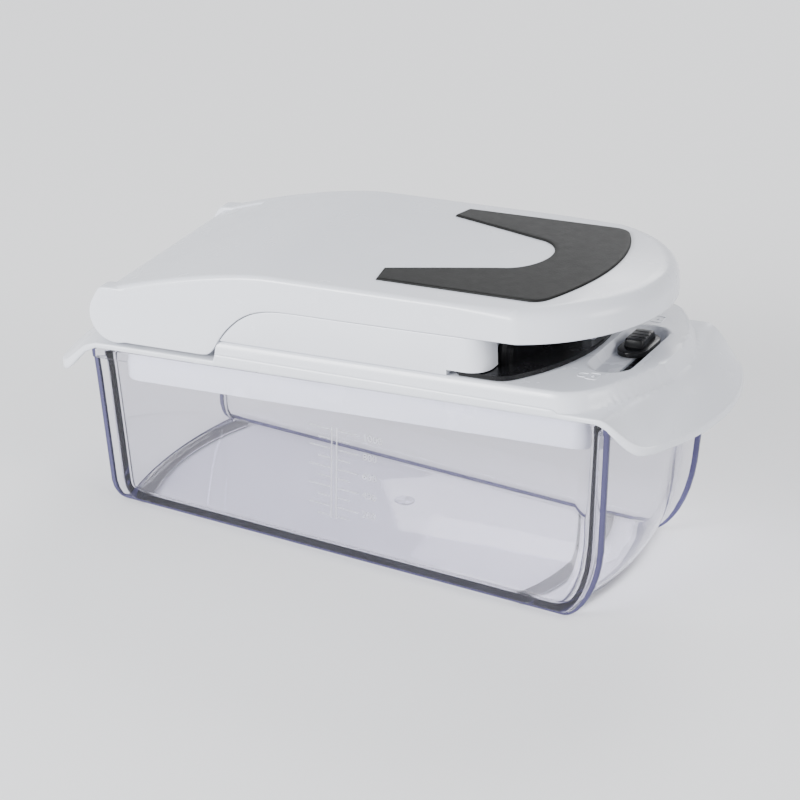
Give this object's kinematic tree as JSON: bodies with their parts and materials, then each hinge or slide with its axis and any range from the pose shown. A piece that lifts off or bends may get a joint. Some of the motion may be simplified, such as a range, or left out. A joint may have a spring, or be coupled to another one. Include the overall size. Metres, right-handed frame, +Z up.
{
  "type": "vegetable chopper",
  "caption": "Hand-press vegetable chopper: hinged lid that pushes food through a crossed blade insert into a clear rectangular catch container, with a sliding lid latch.",
  "frame": {"origin": "on the table, under the middle of the whole object's outer size", "axes": "+X toward the latch and the front handle lip, along the length; +Y to the far side, across; +Z up"},
  "size_m": [0.2778, 0.116, 0.1337],
  "materials": {
    "clear_plastic": "clear, glossy",
    "white_plastic": "glossy white moulding",
    "black_plastic": "glossy black moulding",
    "soft_pad": "matt, fine grain",
    "grip_grey": "matt",
    "steel": "fine brushed"
  },
  "bodies": {
    "container": {"container": "clear_plastic", "grip_strip_rear": "grip_grey", "grip_strip_front": "grip_grey"},
    "frame": {"top_frame": "white_plastic", "blade_tray": "black_plastic", "long_blade_1": "steel", "long_blade_2": "steel", "long_blade_3": "steel", "cross_blade_1": "steel", "cross_blade_2": "steel", "cross_blade_3": "steel", "cross_blade_4": "steel", "cross_blade_5": "steel"},
    "lid": {"lid_shell": "white_plastic", "press_housing": "white_plastic", "pusher_grid": "white_plastic", "grip_pad": "soft_pad", "lid_hook": "white_plastic", "hinge_pin_near": "steel", "hinge_pin_far": "steel"},
    "latch": {"latch_button": "black_plastic", "latch_plate": "black_plastic"}
  },
  "joints": [
    {"name": "frame_lift", "type": "slide", "parent": "container", "child": "frame", "axis": [-0.0956, 0, 0.9954], "range_m": [0, 0.05]},
    {"name": "lid_hinge", "type": "hinge", "parent": "frame", "child": "lid", "pos_m": [-0.10614, 0, 0.08564], "axis": [0, -1, 0], "range_deg": [0, 92]},
    {"name": "latch_slide", "type": "slide", "parent": "frame", "child": "latch", "axis": [0, -1, 0], "range_m": [0, 0.02]}
  ]
}
